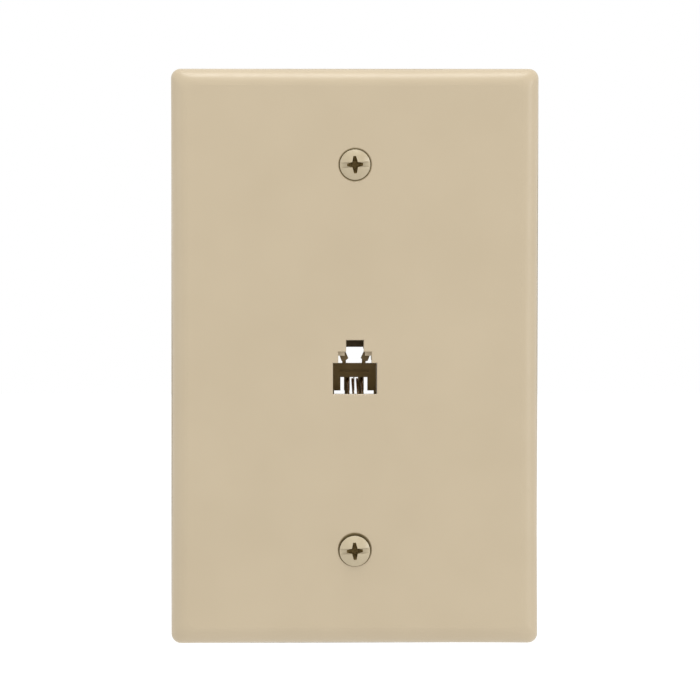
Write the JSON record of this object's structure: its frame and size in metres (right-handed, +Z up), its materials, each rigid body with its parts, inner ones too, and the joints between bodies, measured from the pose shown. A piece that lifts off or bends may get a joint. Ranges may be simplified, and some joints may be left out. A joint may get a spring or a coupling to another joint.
{
  "type": "wall plate cover",
  "caption": "Midsize ivory wall plate with a modular telephone jack, captive oval-head mounting screws and colour-coded screw terminals behind.",
  "frame": {"origin": "centre of the plate's outline, on the wall plane that its back rim touches", "axes": "+Z up along the plate's long side, +Y into the wall, +X to the right for someone facing the plate"},
  "size_m": [0.0794, 0.0253, 0.1246],
  "materials": {
    "ivory_abs": "moulded, satin gloss, ivory",
    "housing_nylon": "moulded, dull, brown",
    "carrier_nylon": "moulded, dull, dark tan",
    "gold_plated_bronze": "drawn wire, thin gold plate",
    "tinned_copper": "tin plated, soft satin",
    "brass": "turned",
    "zinc_steel": "bright zinc plated",
    "clear_nylon": "natural nylon, slightly cloudy",
    "painted_steel": "baked ivory enamel on a steel screw",
    "black_pvc": "extruded PVC insulation",
    "red_pvc": "extruded PVC insulation",
    "green_pvc": "extruded PVC insulation",
    "yellow_pvc": "extruded PVC insulation"
  },
  "bodies": {
    "plate": {"wall_plate": "ivory_abs", "jack_housing": "housing_nylon", "contact_carrier": "carrier_nylon", "contact_tail_black": "gold_plated_bronze", "splice_black": "tinned_copper", "lead_black": "black_pvc", "spade_lug_black": "tinned_copper", "terminal_insert_black": "brass", "contact_tail_red": "gold_plated_bronze", "splice_red": "tinned_copper", "lead_red": "red_pvc", "spade_lug_red": "tinned_copper", "terminal_insert_red": "brass", "contact_tail_green": "gold_plated_bronze", "splice_green": "tinned_copper", "lead_green": "green_pvc", "spade_lug_green": "tinned_copper", "terminal_insert_green": "brass", "contact_tail_yellow": "gold_plated_bronze", "splice_yellow": "tinned_copper", "lead_yellow": "yellow_pvc", "spade_lug_yellow": "tinned_copper", "terminal_insert_yellow": "brass"},
    "contact_black": {"contact_arm_black": "gold_plated_bronze"},
    "contact_red": {"contact_arm_red": "gold_plated_bronze"},
    "contact_green": {"contact_arm_green": "gold_plated_bronze"},
    "contact_yellow": {"contact_arm_yellow": "gold_plated_bronze"},
    "washer_black": {"terminal_washer_black": "zinc_steel"},
    "terminal_screw_black": {"terminal_screw_black": "zinc_steel"},
    "washer_red": {"terminal_washer_red": "zinc_steel"},
    "terminal_screw_red": {"terminal_screw_red": "zinc_steel"},
    "washer_green": {"terminal_washer_green": "zinc_steel"},
    "terminal_screw_green": {"terminal_screw_green": "zinc_steel"},
    "washer_yellow": {"terminal_washer_yellow": "zinc_steel"},
    "terminal_screw_yellow": {"terminal_screw_yellow": "zinc_steel"},
    "retainer_upper": {"screw_retainer_upper": "clear_nylon"},
    "mounting_screw_upper": {"mounting_screw_upper": "painted_steel"},
    "retainer_lower": {"screw_retainer_lower": "clear_nylon"},
    "mounting_screw_lower": {"mounting_screw_lower": "painted_steel"}
  },
  "joints": [
    {"name": "contact_press_black", "type": "hinge", "parent": "plate", "child": "contact_black", "pos_m": [0.00153, -0.00317, -0.00813], "axis": [-1, 0, 0], "range_deg": [0, 8], "stiffness_Nm_per_rad": 0.042, "springref_deg": -5},
    {"name": "contact_press_red", "type": "hinge", "parent": "plate", "child": "contact_red", "pos_m": [0.00051, -0.00317, -0.00813], "axis": [-1, 0, 0], "range_deg": [0, 8], "stiffness_Nm_per_rad": 0.042, "springref_deg": -5},
    {"name": "contact_press_green", "type": "hinge", "parent": "plate", "child": "contact_green", "pos_m": [-0.00051, -0.00317, -0.00813], "axis": [-1, 0, 0], "range_deg": [0, 8], "stiffness_Nm_per_rad": 0.042, "springref_deg": -5},
    {"name": "contact_press_yellow", "type": "hinge", "parent": "plate", "child": "contact_yellow", "pos_m": [-0.00153, -0.00317, -0.00813], "axis": [-1, 0, 0], "range_deg": [0, 8], "stiffness_Nm_per_rad": 0.042, "springref_deg": -5},
    {"name": "terminal_lift_black", "type": "slide", "parent": "plate", "child": "washer_black", "axis": [0, 1, 0], "range_m": [0, 0.00238]},
    {"name": "terminal_turn_black", "type": "hinge", "parent": "washer_black", "child": "terminal_screw_black", "pos_m": [0.02, 0, -0.0145], "axis": [0, 1, 0], "range_deg": [0, 1080]},
    {"name": "terminal_lift_red", "type": "slide", "parent": "plate", "child": "washer_red", "axis": [0, 1, 0], "range_m": [0, 0.00238]},
    {"name": "terminal_turn_red", "type": "hinge", "parent": "washer_red", "child": "terminal_screw_red", "pos_m": [0.02, 0, 0.0095], "axis": [0, 1, 0], "range_deg": [0, 1080]},
    {"name": "terminal_lift_green", "type": "slide", "parent": "plate", "child": "washer_green", "axis": [0, 1, 0], "range_m": [0, 0.00238]},
    {"name": "terminal_turn_green", "type": "hinge", "parent": "washer_green", "child": "terminal_screw_green", "pos_m": [-0.02, 0, 0.0095], "axis": [0, 1, 0], "range_deg": [0, 1080]},
    {"name": "terminal_lift_yellow", "type": "slide", "parent": "plate", "child": "washer_yellow", "axis": [0, 1, 0], "range_m": [0, 0.00238]},
    {"name": "terminal_turn_yellow", "type": "hinge", "parent": "washer_yellow", "child": "terminal_screw_yellow", "pos_m": [-0.02, 0, -0.0145], "axis": [0, 1, 0], "range_deg": [0, 1080]},
    {"name": "retainer_slide_upper", "type": "slide", "parent": "plate", "child": "retainer_upper", "axis": [0, -1, 0], "range_m": [0, 0.0021]},
    {"name": "mounting_turn_upper", "type": "hinge", "parent": "retainer_upper", "child": "mounting_screw_upper", "pos_m": [0, 0, 0.04165], "axis": [0, -1, 0], "continuous": true},
    {"name": "retainer_slide_lower", "type": "slide", "parent": "plate", "child": "retainer_lower", "axis": [0, -1, 0], "range_m": [0, 0.0017]},
    {"name": "mounting_turn_lower", "type": "hinge", "parent": "retainer_lower", "child": "mounting_screw_lower", "pos_m": [0, 0, -0.04196], "axis": [0, -1, 0], "continuous": true}
  ],
  "couplings": [
    {"joint": "terminal_turn_black", "follows": "terminal_lift_black", "rad_per_m": 7915.8},
    {"joint": "terminal_turn_red", "follows": "terminal_lift_red", "rad_per_m": 7915.8},
    {"joint": "terminal_turn_green", "follows": "terminal_lift_green", "rad_per_m": 7915.8},
    {"joint": "terminal_turn_yellow", "follows": "terminal_lift_yellow", "rad_per_m": 7915.8}
  ]
}
